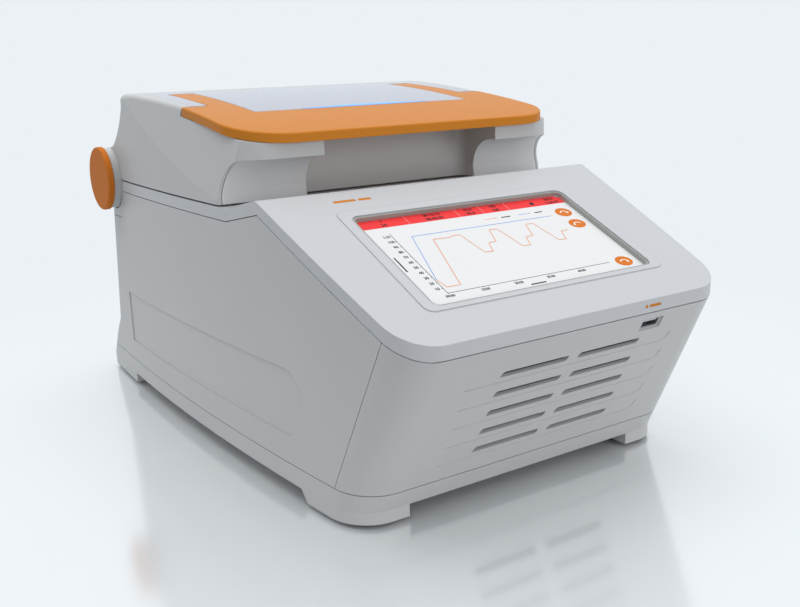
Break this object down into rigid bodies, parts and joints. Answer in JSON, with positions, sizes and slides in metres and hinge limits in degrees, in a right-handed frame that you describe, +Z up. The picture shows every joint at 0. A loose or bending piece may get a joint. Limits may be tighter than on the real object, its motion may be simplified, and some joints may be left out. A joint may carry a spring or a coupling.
{
  "type": "thermal cycler",
  "caption": "Bench-top thermal cycler with a sloping touch screen, side air slots in front, and a heated lid with an orange lever handle on a rear barrel hinge.",
  "frame": {"origin": "on the bench, under the middle of the overall box", "axes": "+X to the user's right, -Y to the front with the touch screen, +Z up"},
  "size_m": [0.2708, 0.4376, 0.2261],
  "materials": {
    "panel_grey": "fine moulded texture",
    "cover_white": "satin painted",
    "orange": "semi-gloss",
    "hinge_orange": "satin",
    "pale_panel": "glossy",
    "blue_light": "translucent, glossy",
    "screen_glass": "clear, glossy",
    "screen_module": "lit display",
    "bezel_grey": "fine texture",
    "black_plastic": "fine texture",
    "rubber_black": "matte",
    "silicone": "matte",
    "steel": "brushed",
    "aluminium": "machined",
    "ceramic": "matte",
    "foam": "matte foam",
    "board": "solder mask"
  },
  "bodies": {
    "housing": {"bottom_tray": "panel_grey", "rubber_feet": "rubber_black", "front_panel": "panel_grey", "left_side_panel": "panel_grey", "right_side_panel": "panel_grey", "rear_panel": "panel_grey", "top_cover": "cover_white", "screen_bezel": "bezel_grey", "touch_glass": "screen_glass", "display_module": "screen_module", "display_bracket": "steel", "display_board": "board", "usb_shell": "steel", "usb_tongue": "black_plastic", "vent_mesh": "black_plastic", "seam_brackets": "black_plastic", "sample_block": "aluminium", "block_frame": "black_plastic", "block_gasket": "silicone", "peltier_modules": "ceramic", "heat_sink": "aluminium", "heat_sink_carrier": "steel", "left_fan_frame": "black_plastic", "right_fan_frame": "black_plastic", "air_duct": "black_plastic", "power_supply": "steel", "main_board": "board", "board_spacers": "steel", "mains_inlet": "black_plastic", "inlet_pins": "steel", "switch_frame": "black_plastic", "fuse_cap": "black_plastic", "screws": "steel", "hinge_barrel": "panel_grey", "rear_bridge": "steel", "hinge_pins": "steel", "hinge_washers": "black_plastic", "latch_strike": "steel"},
    "lid": {"lid_cover": "panel_grey", "lid_base": "panel_grey", "left_grip_pad": "panel_grey", "right_grip_pad": "panel_grey", "handle_pivots": "steel", "lid_top_panel": "pale_panel", "status_light": "blue_light", "hinge_knuckles": "aluminium", "hinge_collars": "cover_white", "hinge_caps": "hinge_orange", "platen_carrier": "steel", "latch_mount": "steel"},
    "handle": {"handle_lever": "orange"},
    "latch": {"latch_hook": "steel"},
    "platen": {"heated_platen": "aluminium", "heater_mat": "silicone", "platen_insulation": "foam", "platen_guide_pins": "steel", "platen_springs": "steel"},
    "left_fan": {"left_fan_rotor": "black_plastic"},
    "right_fan": {"right_fan_rotor": "black_plastic"},
    "rocker": {"power_rocker": "black_plastic"}
  },
  "joints": [
    {"name": "lid_hinge", "type": "hinge", "parent": "housing", "child": "lid", "pos_m": [0, 0.1626, 0.1633], "axis": [-1, 0, 0], "range_deg": [0, 75]},
    {"name": "handle_lift", "type": "hinge", "parent": "lid", "child": "handle", "pos_m": [0, 0.086, 0.21173], "axis": [-1, 0, 0], "range_deg": [0, 8], "stiffness_Nm_per_rad": 3, "springref_deg": -3.44},
    {"name": "latch_release", "type": "hinge", "parent": "lid", "child": "latch", "pos_m": [0, -0.012, 0.186], "axis": [1, 0, 0], "range_deg": [0, 10]},
    {"name": "platen_float", "type": "slide", "parent": "lid", "child": "platen", "axis": [0, 0, 1], "range_m": [0, 0.005], "stiffness_N_per_m": 3000, "springref_m": -0.004, "deforming": ["platen_springs"]},
    {"name": "left_fan_spin", "type": "hinge", "parent": "housing", "child": "left_fan", "pos_m": [-0.036, 0.1095, 0.096], "axis": [0, 1, 0], "continuous": true},
    {"name": "right_fan_spin", "type": "hinge", "parent": "housing", "child": "right_fan", "pos_m": [0.036, 0.1095, 0.096], "axis": [0, 1, 0], "continuous": true},
    {"name": "power_rocker_tilt", "type": "hinge", "parent": "housing", "child": "rocker", "pos_m": [0.02, 0.18801, 0.04153], "axis": [0, 0.157, -0.9876], "range_deg": [0, 14]}
  ],
  "couplings": [
    {"joint": "latch_release", "follows": "handle_lift", "ratio": 1.25}
  ]
}
